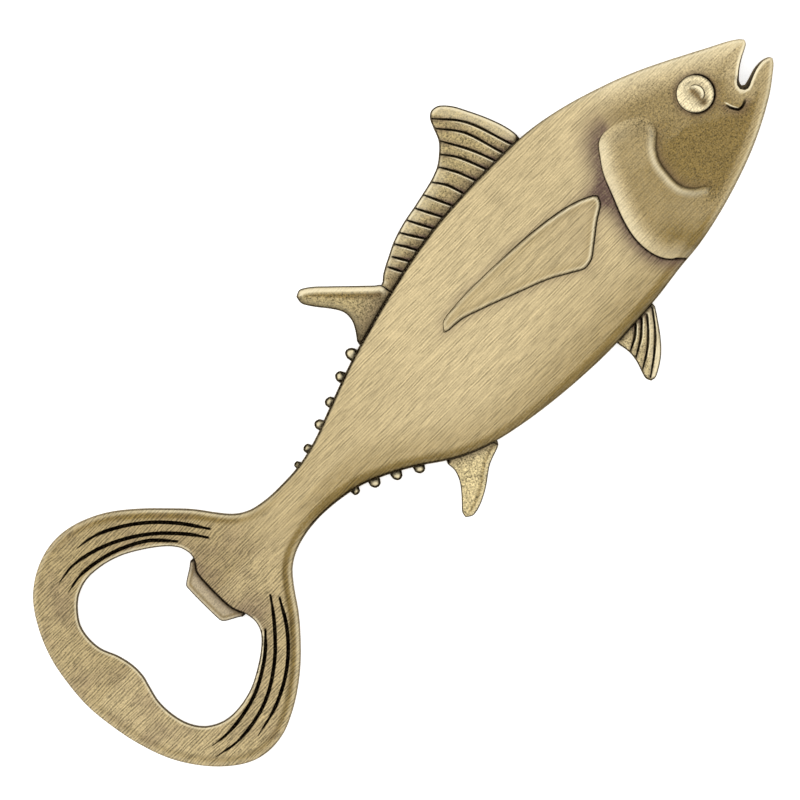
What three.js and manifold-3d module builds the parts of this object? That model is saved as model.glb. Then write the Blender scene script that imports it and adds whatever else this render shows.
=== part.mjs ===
// Souvenir bottle opener cast in the shape of a tuna, with an opener ring for its tail.
//
// Frame: +X runs to the head, +Y to the dorsal fins, +Z out of the sculpted front.
// Origin: middle of the bounding box, on the plane of the flat back. Millimetres.
//
// The casting has one flat back at z = 0. Its elements stand at different heights:
// the fins and the cap lug are low, the body is thick, and the pads lie on its front plane.

import * as THREE from 'three';
import { mergeVertices } from 'three/addons/utils/BufferGeometryUtils.js';
import Module from 'manifold-3d';

const wasm = await Module();
wasm.setup();

// ---------------------------------------------------------------- driving dimensions

const BODY_THICKNESS = 5.0;
const FIN_THICKNESS = 2.6;
const FINLET_THICKNESS = 2.4;
const LUG_THICKNESS = 2.2;
const PECTORAL_RISE = 0.7;
const GILL_RISE = 0.6;
const EYE_RISE = 0.5;
const PUPIL_RISE = 0.45;

const BODY_ROLL = 1.2;            // rounding of the body's front edges
const FIN_ROLL = 0.45;
const FINLET_ROLL = 0.2;
const PAD_ROLL = 0.3;
const JAW_ROLL_START = 74;        // the body's rounding fades out from here ...
const JAW_ROLL_END = 81;          // ... to here, where the jaws are too slender for it

const SEAM = 0.3;                 // clearance between neighbouring elements
const CURVE_STEP = 1.3;           // longest chord on a smooth outline
const GROOVE_STEP = 1.6;

const RING_GROOVE_DEPTH = 0.6;
const RING_GROOVE_WIDTH = 0.8;
const RIB_GROOVE_DEPTH = 0.7;
const RIB_GROOVE_WIDTH = 0.5;
const MOUTH_LINE_DEPTH = 0.4;
const MOUTH_LINE_WIDTH = 0.5;

const EYE_CENTRE = [70.3, -0.25];
const EYE_RADIUS = 3.4;
const PUPIL_RADIUS = 1.7;

const LUG_EDGE_X = -57.1;         // straight edge that lifts the cap
const LUG_ROOT_X = -54;           // straight foot of the lug on the ring

// ---------------------------------------------------------------- finishes

const BRUSHED = { color: 0xc3b088, roughness: 0.42, metalness: 1.0 };
const CAST = { color: 0xa8966c, roughness: 0.6, metalness: 1.0 };
const DARK_CAST = { color: 0x93866a, roughness: 0.65, metalness: 1.0 };
const POLISHED = { color: 0xd8c698, roughness: 0.3, metalness: 1.0 };

// ---------------------------------------------------------------- outlines (x, y)

// Outer edge of the body, anticlockwise from the upper jaw along the back of the fish,
// round the ring that is its tail, and forward along the belly to the lower jaw and mouth.
const BODY_EDGE = [
  [83.5, 0.4], [82, 1.75], [78, 3.9], [74, 6], [70, 8.05], [66, 9.95], [62, 11.6],
  [58, 13], [54, 14.25], [50, 15.25], [46, 16], [42, 16.4], [36, 16.5], [30, 16.45],
  [23, 16.1], [17, 15.4], [11, 14.3], [5, 12.9], [-1, 11.3], [-6, 9.9], [-11.7, 7.95],
  [-17, 5.95], [-22, 4.1], [-27, 2.9], [-32, 2.6], [-36, 2.75], [-39.5, 3.55],
  [-41.7, 4.95], [-43.6, 7.1], [-46.3, 10.7], [-49.2, 13.8], [-53.3, 17.8], [-57.6, 21.2],
  [-62, 23.4], [-66.2, 24.4], [-70.2, 24.15], [-74.4, 22.55], [-78.1, 19.7],
  [-81.2, 15.1], [-83.35, 9.8], [-84.4, 4.3], [-84.75, -1], [-84.2, -6.5],
  [-83.1, -11.9], [-81.1, -17.6], [-78.4, -22.1], [-75, -25.9], [-71.3, -28.5],
  [-67.8, -29.5], [-63.6, -29.2], [-59.5, -27.5], [-55.8, -25.2], [-52.3, -22.4],
  [-48.9, -19], [-46, -15.6], [-43.5, -12], [-41.2, -9.3], [-38.8, -7.75], [-35.5, -6.7],
  [-31.4, -6.25], [-26.7, -6.55], [-22, -7.5], [-17, -9.6], [-12, -12.4], [-8, -15.1],
  [-4, -17.2], [1, -19], [7, -20.3], [13, -21.15], [20, -21.75], [27, -21.95],
  [34, -21.6], [40, -21.2], [46, -20.4], [52, -19.8], [58, -18.55], [64, -16.85],
  [70, -14.7], [75, -12.4], [80, -9.55], [83, -7.3], [84.2, -6.3], [84.75, -5.5],
  [84.4, -4.95], [83.2, -4.5], [81.2, -4.55], [79, -5.2], [77.9, -5.45], [77.3, -5.05],
  [77.5, -4.3], [79, -2.8], [81, -1.45], [83.2, -0.25],
];

// The opening in the ring, clockwise from the fulcrum bump that rests on the cap.
// Behind the lug the edge is straight, and the lug grows out of it lower down.
const OPENING_TOP = [
  [-73.75, -2.5], [-73.9, -0.7], [-74.6, 2], [-75.7, 4.6], [-76, 7.2], [-75.5, 10.1],
  [-74.1, 12.3], [-71.9, 14.3], [-69, 15.35], [-65.6, 15.25], [-61.8, 14.2],
  [-57.8, 12], [-54.3, 9.3], [-52.8, 7.3], [-52.4, 5.4], [-52.9, 3.7],
];
const OPENING_ROOT = [[-53.7, 2.6], [LUG_ROOT_X, 1.4], [LUG_ROOT_X, -6.3], [-53.6, -7.7]];
const OPENING_BOTTOM = [
  [-53, -9.1], [-52.7, -11.2], [-53.3, -13.3], [-55, -15.2], [-58.3, -17.55],
  [-62.2, -19.5], [-66.5, -20.3], [-69.5, -19.95], [-72.3, -18.4], [-74.1, -15.9],
  [-75, -12.7], [-75.1, -9.2], [-74.5, -6.6], [-73.9, -4.4],
];

const LUG_EDGE = [
  [[-51, 4.9], [-53.1, 4.7], [-54.4, 3.75], [-56.5, 2.4], [-57, 1.9], [LUG_EDGE_X, 1.2]],
  [[LUG_EDGE_X, -6.1], [-57, -6.9], [-56.5, -7.5], [-54.2, -8.8], [-53, -9.8], [-51, -10.2]],
];

// Fin outlines are runs of smooth curve that meet in corners. Each root runs inside the
// body's edge, and the body's clearance is cut from it.
const FIRST_DORSAL_EDGE = [
  [[6.9, 13.4], [6.5, 15.4]],
  [[7.6, 16.4], [9.1, 17.3], [10.9, 18.2], [12.9, 19.2], [15, 19.95], [17.4, 20.6],
    [20.1, 21.1], [22.9, 21.7], [25.5, 22.3], [28.2, 23.3], [30.1, 24.7], [31.8, 26.5],
    [32.8, 28.9], [33.6, 30.5], [34.6, 31.2], [36, 31.05], [37.8, 29.3], [39.4, 26.4],
    [40.9, 23.2], [42.1, 19.8], [42.5, 17.2], [42.2, 15.6]],
];
const SECOND_DORSAL_EDGE = [
  [[6.5, 13], [6.15, 15.35]],
  [[5.2, 16.2], [2.8, 18.5], [-0.8, 22], [-3.2, 24.2], [-5, 25.2], [-6.2, 24.7],
    [-6.4, 23.3], [-5.2, 21.2], [-3.2, 18.6], [-2.1, 16.6], [-2.2, 14.4], [-3.6, 12],
    [-5.2, 9.8], [-5, 9]],
];
const ANAL_EDGE = [
  [[-7.6, -14], [-8.2, -15.6], [-8.1, -17.4], [-8.9, -19.6], [-10.8, -22], [-12.5, -23.9],
    [-12.7, -24.9], [-11.6, -25.6], [-9.6, -25.3], [-6.5, -23.8], [-2.9, -21.3],
    [1.2, -19.5], [1.6, -18]],
];
const PELVIC_EDGE = [
  [[28.2, -21], [28.8, -22.6], [29.15, -24.8], [28.9, -26.8], [28.2, -28.9], [27.9, -30.2],
    [28.3, -31.15], [29.2, -31.3], [30.9, -30.5], [33, -29], [35, -26.85], [37, -24.1],
    [38.6, -21.6], [39, -20.5]],
];

// Grooves between the fin rays, from the free edge down to the root.
const FIRST_DORSAL_RAYS = [
  [[9.3, 16.8], [10.4, 14.6]], [[11.1, 17.6], [12.7, 14.9]],
  [[13, 18.9], [14.1, 17.2], [15.2, 15.1]], [[15.1, 19.7], [17.7, 15.5]],
  [[17.6, 20.4], [19.9, 16]], [[20.2, 20.8], [22.5, 16.4]], [[23, 21.4], [25.2, 16.6]],
  [[25.6, 22], [27.2, 19.8], [28.2, 16.7]], [[28.4, 23.1], [30.2, 20], [31.4, 16.8]],
  [[30.3, 24.4], [32.2, 21.8], [34.2, 16.8]], [[32, 26.1], [34.8, 21], [36.4, 16.8]],
  [[32.9, 28.4], [36, 24.4], [38.4, 16.8]], [[33.8, 30], [37.6, 25.4], [40.6, 16.8]],
];
const PELVIC_RAYS = [
  [[29.4, -24.7], [32, -23.3], [33.7, -21.6]], [[29.4, -26.2], [32.6, -24.2], [35.1, -21.8]],
  [[28.6, -28.6], [31.7, -26.7], [34.7, -23.9], [36.1, -22.2]],
  [[28.6, -30.6], [31.7, -28.4], [35.1, -25.3], [37.6, -22.1]],
];

// Long grooves on the front of the ring, above and below its opening.
const RING_GROOVES = [
  [[-72.9, 16], [-68.9, 16.7], [-62.3, 15.6], [-56, 12.5], [-52.2, 8.5]],
  [[-73, 18.3], [-69.2, 18.95], [-62.3, 17.4], [-55.4, 13.5], [-50.3, 8.5], [-47.8, 5]],
  [[-66.2, 20.6], [-61.8, 19.8], [-55.4, 16.2], [-50.2, 11.2], [-46.5, 5.9]],
  [[-74.1, -21.7], [-69.7, -22.1], [-62.3, -20.7], [-55.7, -16.9], [-52.2, -13.5]],
  [[-75.2, -23.5], [-69.5, -24.4], [-61.8, -22.9], [-55.4, -19], [-50, -13.5], [-47.2, -9.7]],
  [[-67, -26.3], [-60.7, -24.7], [-54.4, -21.2], [-49.5, -16.3], [-46.4, -11.2]],
];
const MOUTH_LINE = [[72.8, -5.5], [73.1, -6.7], [73.9, -7.9], [75, -7.8], [76, -7.3]];

const PECTORAL_EDGE = [
  [8, 1.4], [9.2, 2.8], [13, 3.45], [20.7, 3.55], [28, 3.2], [34.3, 2.6], [39.5, 1.7],
  [43.2, 0.4], [44.9, -0.8], [44.4, -2], [41.5, -4], [38, -6.7], [36, -8.1], [34.2, -8.4],
  [32, -7.3], [28, -5.1], [22, -2.75], [16, -0.5], [12, 0.8],
];
const GILL_EDGE = [
  [56.7, 5.8], [53.9, 6.4], [51.9, 5.8], [50.3, 3.9], [48.6, 1.4], [46.8, -3], [45.1, -7.5],
  [44.35, -11], [44.45, -14.2], [45.3, -16.8], [46.8, -18.5], [48.5, -18.9], [52.4, -18.3],
  [56.8, -17], [60.7, -14.2], [58.2, -12.2], [56.8, -10.1], [56.7, -7], [57.2, -4.2], [58.5, -2],
  [60.6, 0], [61.3, 1.6], [60.2, 4],
];

// Finlets: rear foot, tip and front foot of each, with both feet on the body's edge.
const UPPER_FINLETS = [
  [[-28.2, 2.7], [-27.3, 3.8], [-26.3, 3]], [[-25, 3.2], [-24, 4.75], [-22.9, 3.9]],
  [[-20.5, 4.7], [-19.6, 6.45], [-18.2, 5.5]], [[-16.4, 6], [-15.4, 7.95], [-13.9, 7]],
  [[-11.8, 7.9], [-10.8, 9.95], [-9.4, 8.8]], [[-7.6, 9.4], [-6.6, 11.6], [-5.1, 10.3]],
];
const LOWER_FINLETS = [
  [[-24.3, -7], [-23.3, -8.3], [-22.2, -7.4]], [[-20.9, -7.9], [-19.8, -9.95], [-18.6, -9.1]],
  [[-17.1, -9.8], [-16.1, -11.8], [-14.9, -10.9]],
  [[-13.4, -11.8], [-12.3, -13.8], [-11.2, -13.1]],
];
const FINLET_ROOT = 1;            // how far a finlet's sides run on into the body
const FINLET_SLOPE = 0.35;        // how far the front shoulder leans back towards the tip

// ---------------------------------------------------------------- curves

// Points along a smooth curve through the given ones, spaced to suit the curve.
function smooth(points, closed = false, step = CURVE_STEP) {
  const knots = points.map(([x, y]) => new THREE.Vector3(x, y, 0));
  const curve = new THREE.CatmullRomCurve3(knots, closed, 'centripetal');
  const spans = closed ? knots.length : knots.length - 1;
  const result = [];
  for (let span = 0; span < spans; span++) {
    const next = knots[(span + 1) % knots.length];
    const pieces = Math.max(1, Math.round(knots[span].distanceTo(next) / step));
    for (let i = 0; i < pieces; i++) {
      const { x, y } = curve.getPoint((span + i / pieces) / spans);
      result.push(new THREE.Vector2(x, y));
    }
  }
  if (!closed) result.push(new THREE.Vector2(...points.at(-1)));
  return result;
}

// Runs joined end to end, with a corner wherever two of them meet. Two points are a
// straight run, and more are a smooth one.
function joined(runs) {
  return runs.flatMap((run) => smooth(run, false, run.length > 2 ? CURVE_STEP : Infinity));
}

// Unit direction that points to the right of the path at one of its points.
function rightOf(path, index, closed = true) {
  const last = path.length - 1;
  const before = path[index > 0 ? index - 1 : closed ? last : 0];
  const after = path[index < last ? index + 1 : closed ? 0 : last];
  const along = after.clone().sub(before).normalize();
  return new THREE.Vector2(along.y, -along.x);
}

// A closed path moved sideways: outwards when it is anticlockwise.
function shifted(path, distanceAt) {
  return path.map((point, index) => {
    return point.clone().addScaledVector(rightOf(path, index), distanceAt(point));
  });
}

// Outline of a groove that follows a path and tapers to a point at both ends.
function grooveOutline(points, width) {
  const path = smooth(points, false, GROOVE_STEP);
  const sides = path.map((point, index) => {
    const taper = Math.sqrt(Math.sin(Math.PI * (index / (path.length - 1))));
    return rightOf(path, index, false).multiplyScalar(taper * width / 2);
  });
  const right = path.map((point, index) => point.clone().add(sides[index]));
  const left = path.map((point, index) => point.clone().sub(sides[index]));
  return [...right, ...left.slice(1, -1).reverse()];
}

// A lobe with an upright rear side and a sloping front one, rounded over at its tip.
function finletOutline([rear, tip, front]) {
  const [start, crown, end] = [rear, tip, front].map(([x, y]) => new THREE.Vector2(x, y));
  const rearShoulder = new THREE.Vector2(start.x, crown.y);
  const frontShoulder = new THREE.Vector2(end.x + (crown.x - end.x) * FINLET_SLOPE, crown.y);
  const rise = new THREE.QuadraticBezierCurve(start, rearShoulder, crown).getPoints(4);
  const fall = new THREE.QuadraticBezierCurve(crown, frontShoulder, end).getPoints(4);
  const inward = crown.y > start.y ? -FINLET_ROOT : FINLET_ROOT;
  const roots = [start, end].map((foot) => new THREE.Vector2(foot.x, foot.y + inward));
  return [roots[0], ...rise, ...fall.slice(1), roots[1]];
}

function anticlockwise(path) {
  return THREE.ShapeUtils.isClockWise(path) ? [...path].reverse() : path;
}

function clockwise(path) {
  return THREE.ShapeUtils.isClockWise(path) ? path : [...path].reverse();
}

// ---------------------------------------------------------------- solids

// A flat plate from z = low to z = high whose upper edge is rolled over. The outline is
// anticlockwise and the holes clockwise. rollAt gives the rolled width at a point.
function plate(outline, holes, low, high, rollAt) {
  const rings = [outline, ...holes];
  const levels = [
    { inset: 0, z: () => low },
    { inset: 0, z: (roll) => high - roll },
    { inset: 1 - Math.SQRT1_2, z: (roll) => high - roll * (1 - Math.SQRT1_2) },
    { inset: 1, z: () => high },
  ];
  const positions = [];
  const loops = levels.map(({ inset, z }) => rings.map((ring) => {
    const edge = shifted(ring, (point) => -inset * rollAt(point));
    return edge.map((point, index) => {
      positions.push(point.x, point.y, z(rollAt(ring[index])));
      return { point, id: positions.length / 3 - 1 };
    });
  }));
  return solidFrom(positions, [...wallFaces(loops), ...capFaces(loops)]);
}

function wallFaces(loops) {
  const faces = [];
  for (let level = 1; level < loops.length; level++) {
    loops[level].forEach((upper, ring) => {
      const lower = loops[level - 1][ring];
      upper.forEach((corner, index) => {
        const next = (index + 1) % upper.length;
        faces.push(lower[index].id, lower[next].id, upper[next].id);
        faces.push(lower[index].id, upper[next].id, upper[index].id);
      });
    });
  }
  return faces;
}

// Both ends of the plate, split into triangles in the same way.
function capFaces(loops) {
  const [outline, ...holes] = loops[0].map((ring) => ring.map((corner) => corner.point));
  const back = loops[0].flat().map((corner) => corner.id);
  const front = loops.at(-1).flat().map((corner) => corner.id);
  const triangles = THREE.ShapeUtils.triangulateShape(outline, holes);
  return triangles.flatMap(([a, b, c]) => {
    return [back[a], back[c], back[b], front[a], front[b], front[c]];
  });
}

function solidFrom(positions, faces) {
  const mesh = new wasm.Mesh({
    numProp: 3,
    vertProperties: new Float32Array(positions),
    triVerts: new Uint32Array(faces),
  });
  return new wasm.Manifold(mesh);
}

// The same closed body from a ready-made geometry.
function solidOf(geometry) {
  geometry.deleteAttribute('normal');
  geometry.deleteAttribute('uv');
  const merged = mergeVertices(geometry, 1e-4);
  return solidFrom(merged.attributes.position.array, merged.index.array);
}

function geometryOf(solid) {
  const { vertProperties, triVerts } = solid.getMesh();
  const geometry = new THREE.BufferGeometry();
  geometry.setAttribute('position', new THREE.BufferAttribute(vertProperties, 3));
  geometry.setIndex(new THREE.BufferAttribute(triVerts, 1));
  const faceted = geometry.toNonIndexed();
  faceted.computeVertexNormals();
  return faceted;
}

function prism(outline, low, high) {
  return plate(anticlockwise(outline), [], low, high, () => 0.001);
}

// Cuts a groove into the front of a solid for every path in the list.
function grooved(solid, paths, width, depth, front) {
  return paths.reduce((rest, path) => {
    const cutter = prism(grooveOutline(path, width), front - depth, front + 1);
    return rest.subtract(cutter);
  }, solid);
}

// ---------------------------------------------------------------- the elements

const bodyEdge = anticlockwise(smooth(BODY_EDGE, true));
const openingEdge = clockwise([
  ...smooth(OPENING_TOP), ...smooth(OPENING_ROOT, false, 10), ...smooth(OPENING_BOTTOM),
]);

function bodyRoll({ x }) {
  const fade = (JAW_ROLL_END - x) / (JAW_ROLL_END - JAW_ROLL_START);
  return BODY_ROLL * THREE.MathUtils.clamp(fade, 0.1, 1);
}

// Everything within the seam's width of the body, from below the back to above the front.
function bodyClearance() {
  const outer = shifted(bodyEdge, () => SEAM);
  const inner = shifted(openingEdge, () => SEAM);
  return plate(outer, [inner], -1, BODY_THICKNESS + 1, () => 0.001);
}

function fishBody() {
  const blank = plate(bodyEdge, [openingEdge], 0, BODY_THICKNESS, bodyRoll);
  const ringed = grooved(blank, RING_GROOVES, RING_GROOVE_WIDTH, RING_GROOVE_DEPTH, BODY_THICKNESS);
  return grooved(ringed, [MOUTH_LINE], MOUTH_LINE_WIDTH, MOUTH_LINE_DEPTH, BODY_THICKNESS);
}

// A low element that grows out of the body's edge, cut back to leave the seam.
function rooted(outline, thickness, roll) {
  const blank = plate(anticlockwise(outline), [], 0, thickness, () => roll);
  return blank.subtract(bodyClearance());
}

function pad(points, rise) {
  const outline = anticlockwise(smooth(points, true));
  return plate(outline, [], BODY_THICKNESS, BODY_THICKNESS + rise, () => PAD_ROLL);
}

// A round boss turned about its own upright axis, given by its profile (radius, height).
function turned(profile, [x, y], low) {
  const points = profile.map(([radius, height]) => new THREE.Vector2(radius, height));
  const geometry = new THREE.LatheGeometry(points, 32);
  geometry.rotateX(Math.PI / 2);
  geometry.translate(x, y, low);
  return solidOf(geometry);
}

function eyeDisc() {
  const rim = EYE_RADIUS - 0.5;
  const profile = [[0, 0], [EYE_RADIUS, 0], [EYE_RADIUS, 0.2], [rim, EYE_RISE], [0, EYE_RISE]];
  return turned(profile, EYE_CENTRE, BODY_THICKNESS);
}

function pupilDome() {
  const profile = [[0, 0]];
  const steps = 4;
  for (let i = 0; i <= steps; i++) {
    const angle = i / steps * Math.PI / 2;
    profile.push([PUPIL_RADIUS * Math.cos(angle), PUPIL_RISE * Math.sin(angle)]);
  }
  profile.at(-1)[0] = 0;
  return turned(profile, EYE_CENTRE, BODY_THICKNESS + EYE_RISE);
}

// ---------------------------------------------------------------- assembly

const opener = new THREE.Group();

function add(name, solid, finish) {
  const mesh = new THREE.Mesh(geometryOf(solid), new THREE.MeshStandardMaterial(finish));
  mesh.name = name;
  opener.add(mesh);
}

add('fish_body', fishBody(), BRUSHED);
add('cap_lug', rooted(joined(LUG_EDGE), LUG_THICKNESS, FINLET_ROLL), DARK_CAST);

const firstDorsal = rooted(joined(FIRST_DORSAL_EDGE), FIN_THICKNESS, FIN_ROLL);
add('first_dorsal_fin',
  grooved(firstDorsal, FIRST_DORSAL_RAYS, RIB_GROOVE_WIDTH, RIB_GROOVE_DEPTH, FIN_THICKNESS), CAST);
add('second_dorsal_fin', rooted(joined(SECOND_DORSAL_EDGE), FIN_THICKNESS, FIN_ROLL), CAST);
add('anal_fin', rooted(joined(ANAL_EDGE), FIN_THICKNESS, FIN_ROLL), CAST);

const pelvic = rooted(joined(PELVIC_EDGE), FIN_THICKNESS, FIN_ROLL);
add('pelvic_fin',
  grooved(pelvic, PELVIC_RAYS, RIB_GROOVE_WIDTH, RIB_GROOVE_DEPTH, FIN_THICKNESS), CAST);

UPPER_FINLETS.forEach((corners, index) => {
  add(`upper_finlet_${index + 1}`, rooted(finletOutline(corners), FINLET_THICKNESS, FINLET_ROLL), CAST);
});
LOWER_FINLETS.forEach((corners, index) => {
  add(`lower_finlet_${index + 1}`, rooted(finletOutline(corners), FINLET_THICKNESS, FINLET_ROLL), CAST);
});

add('pectoral_fin', pad(PECTORAL_EDGE, PECTORAL_RISE), BRUSHED);
add('gill_cover', pad(GILL_EDGE, GILL_RISE), BRUSHED);
add('eye_disc', eyeDisc(), POLISHED);
add('pupil', pupilDome(), POLISHED);

export default opener;
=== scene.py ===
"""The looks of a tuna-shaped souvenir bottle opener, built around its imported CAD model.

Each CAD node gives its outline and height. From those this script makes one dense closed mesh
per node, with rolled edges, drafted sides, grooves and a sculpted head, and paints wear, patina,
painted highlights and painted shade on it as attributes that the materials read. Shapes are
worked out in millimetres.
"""

import math
from types import SimpleNamespace

import bpy
import numpy as np
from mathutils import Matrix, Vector
from mathutils.geometry import delaunay_2d_cdt
from mathutils.kdtree import KDTree


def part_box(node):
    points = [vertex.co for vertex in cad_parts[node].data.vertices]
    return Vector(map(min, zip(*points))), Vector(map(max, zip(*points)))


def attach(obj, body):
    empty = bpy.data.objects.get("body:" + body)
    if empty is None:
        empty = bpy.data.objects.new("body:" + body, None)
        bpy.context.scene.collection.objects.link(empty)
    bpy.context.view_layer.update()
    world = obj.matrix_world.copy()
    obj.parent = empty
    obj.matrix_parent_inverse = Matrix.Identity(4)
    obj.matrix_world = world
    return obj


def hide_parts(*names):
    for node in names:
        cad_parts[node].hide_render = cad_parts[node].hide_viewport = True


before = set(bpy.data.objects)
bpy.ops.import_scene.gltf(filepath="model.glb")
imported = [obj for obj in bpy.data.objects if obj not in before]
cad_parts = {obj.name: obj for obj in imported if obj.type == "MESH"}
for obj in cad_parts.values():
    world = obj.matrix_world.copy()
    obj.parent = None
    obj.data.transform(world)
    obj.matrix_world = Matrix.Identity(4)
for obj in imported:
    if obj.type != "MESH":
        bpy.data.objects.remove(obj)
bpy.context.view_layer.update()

MM = 0.001

# ---------- sizes, in millimetres

OUTLINE_STEP = 0.42  # spacing of points along an outline
FILL_STEP = 0.75  # spacing of points on open surfaces
DETAIL_STEP = 0.3  # spacing of points along grooves and steps
SIDE_DRAFT = 0.16  # how far a side leans in from the back to the front
EDGE_BULGE = 0.08  # how far the body's rounded sides stand out from the CAD outline
BACK_CHAMFER = 0.2  # broken edge round the flat back
ROLL_ROWS = (0.03, 0.1, 0.2, 0.34, 0.52, 0.75, 1.05, 1.45, 1.95, 2.6)
SEAM_REACH = 0.9  # how far a fin runs on into the body's side
PAD_SINK = 0.3  # how far a pad is let into the body
POCKET_DEPTH = 0.9  # depth of the pocket that the gill cover sits in
SHOULDER = 0.45  # how far down a side the dark line under its edge reaches
EDGE_CLEARANCE = 0.16  # least distance of details' points from an outline
DETAIL_GAP = 0.09  # least distance between two details' points
ROW_GAP = 0.2  # least distance of the rows inside an edge from those points
BACK_STEP = 2.5  # spacing of points on the flat back
FLOOR_STEP = 3.0  # spacing of points on a pocket's floor
FLAT_ENOUGH = 0.004  # how far a flat face's corners may lie from its height
GROOVE_STRETCH = 1.2  # spacing of the points that guide a groove's centre line


# ---------- curves of numbers

def ramp(value, start, end):
    """0 at start, 1 at end, smooth between them."""
    share = np.clip((value - start) / (end - start), 0, 1)
    return share * share * (3 - 2 * share)


def bell(value, centre, width):
    return np.exp(-(((value - centre) / width) ** 2))


def crisp(distance, half):
    """1 on a line and 0 beside it, with a sharp change at half its width."""
    return 1 - ramp(distance, 0.5 * half, 1.5 * half)


def arch(share):
    """0 at both ends of a line and 1 at its middle."""
    return np.clip(np.sin(np.pi * np.clip(share, 0, 1)), 0, 1)


def rolled(distance, width, drop):
    """A surface's drop at a distance from an edge that is rolled over."""
    return drop * np.clip(1 - distance / width, 0, 1) ** 2


# ---------- outlines from the frame

def flat_loops(node, height, up):
    """The closed outlines of a CAD node's flat faces at a height, each anticlockwise if solid."""
    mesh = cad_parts[node].data
    co = np.array([v.co for v in mesh.vertices]) / MM
    after = {}
    for face in mesh.polygons:
        corners = co[list(face.vertices)]
        level = np.abs(corners[:, 2] - height).max() < FLAT_ENOUGH
        if not level or abs(face.normal.z) < 0.9 or (face.normal.z > 0) != up:
            continue
        names = [(round(x, 3), round(y, 3)) for x, y, _ in corners]
        if not up:
            names.reverse()
        for a, b in zip(names, names[1:] + names[:1]):
            if a in after.get(b, ()):
                after[b].remove(a)
            else:
                after.setdefault(a, []).append(b)
    loops = []
    while any(after.values()):
        start = next(a for a, nexts in after.items() if nexts)
        loop = [start]
        while after.get(loop[-1]):
            step = after[loop[-1]].pop()
            if step == start:
                break
            loop.append(step)
        if len(loop) > 2:
            loops.append(np.array(loop))
    return sorted(loops, key=lambda loop: -len(loop))


def smoothed(line, step, closed=True, corner=38):
    """The line as a smooth curve of points about a step apart, sharp only at real corners."""
    count = len(line)
    spans = count if closed else count - 1

    def point(i):
        return line[i % count] if closed else line[min(max(i, 0), count - 1)]

    def is_corner(i):
        if not closed and i in (0, count - 1):
            return True
        before, after = point(i) - point(i - 1), point(i + 1) - point(i)
        turn = np.arctan2(before[0] * after[1] - before[1] * after[0], before @ after)
        return abs(np.degrees(turn)) > corner

    result = []
    for i in range(spans):
        p1, p2 = point(i), point(i + 1)
        p0 = 2 * p1 - p2 if is_corner(i) else point(i - 1)
        p3 = 2 * p2 - p1 if is_corner((i + 1) % count if closed else i + 1) else point(i + 2)
        knots = np.cumsum([0] + [max(np.linalg.norm(b - a), 1e-6) ** 0.5
                                 for a, b in ((p0, p1), (p1, p2), (p2, p3))])
        pieces = max(1, round(np.linalg.norm(p2 - p1) / step))
        for t in knots[1] + (knots[2] - knots[1]) * np.arange(pieces) / pieces:
            result.append(barry_goldman((p0, p1, p2, p3), knots, t))
    if not closed:
        result.append(line[-1])
    return np.array(result)


def barry_goldman(points, knots, t):
    """The point at t on the smooth curve through four points."""
    level = list(points)
    for reach in (1, 2):
        level = [
            ((knots[i + reach] - t) * level[i] + (t - knots[i]) * level[i + 1])
            / (knots[i + reach] - knots[i])
            for i in range(4 - reach)
        ]
    return ((knots[2] - t) * level[0] + (t - knots[1]) * level[1]) / (knots[2] - knots[1])


def lengths_of(vectors):
    return np.linalg.norm(vectors, axis=1)


def lefts(line, closed=True):
    """Unit directions that point to the left of a line at each of its points."""
    if closed:
        along = np.roll(line, -1, 0) - np.roll(line, 1, 0)
    else:
        along = np.gradient(line, axis=0)
    along /= np.maximum(lengths_of(along), 1e-9)[:, None]
    return np.stack([-along[:, 1], along[:, 0]], 1)


def moved_in(outline, inset):
    """A closed outline moved inwards, but less so where it would run into itself."""
    inset = np.full(len(outline), 1.0) * inset
    before, after = outline - np.roll(outline, 1, 0), np.roll(outline, -1, 0) - outline
    lengths = lengths_of(before) * lengths_of(after)
    half_turn = np.sqrt(np.clip(0.5 + 0.5 * (before * after).sum(1) / lengths, 0, 1))
    for _ in range(12):
        moved = outline + inset[:, None] * lefts(outline)
        tight = nearest(moved, outline)[0] < 0.9 * inset * half_turn
        inset = np.where(tight, 0.6 * inset, inset)
    return outline + inset[:, None] * lefts(outline)


def nearest(points, line, closed=True):
    """For each point: distance to a line, the nearest place on it, how far along that is, and
    on which side of the line the point lies (+1 is left)."""
    start = line if closed else line[:-1]
    end = np.roll(line, -1, 0) if closed else line[1:]
    along = end - start
    length = lengths_of(along)
    travelled = np.concatenate([[0], np.cumsum(length)[:-1]])
    found = [[], [], [], []]
    for part in np.array_split(points, max(1, len(points) // 1500)):
        offset = part[:, None, :] - start
        share = np.clip((offset * along).sum(2) / length**2, 0, 1)
        place = start + share[..., None] * along
        gap = ((part[:, None, :] - place) ** 2).sum(2)
        best = gap.argmin(1)
        rows = np.arange(len(part))
        cross = along[best, 0] * offset[rows, best, 1] - along[best, 1] * offset[rows, best, 0]
        found[0].append(np.sqrt(gap[rows, best]))
        found[1].append(place[rows, best])
        found[2].append(travelled[best] + share[rows, best] * length[best])
        found[3].append(np.sign(cross))
    return [np.concatenate(part) for part in found]


def distance_to(points, lines, closed=True):
    """Distance from each point to the nearest of several lines."""
    return np.min([nearest(points, line, closed)[0] for line in lines], axis=0)


def groove_line(loop):
    """Centre line of a slender tapering outline."""
    far = ((loop[:, None] - loop[None]) ** 2).sum(2)
    first, second = sorted(np.unravel_index(far.argmax(), far.shape))
    sides = [loop[first:second + 1], np.concatenate([loop[second:], loop[:first + 1]])[::-1]]
    count = max(7, round(math.sqrt(far.max()) / GROOVE_STRETCH))
    middle = sum(resampled(side, count) for side in sides) / 2
    return smoothed(middle, DETAIL_STEP, closed=False)


def length_of(line):
    return lengths_of(np.diff(line, axis=0)).sum()


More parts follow.
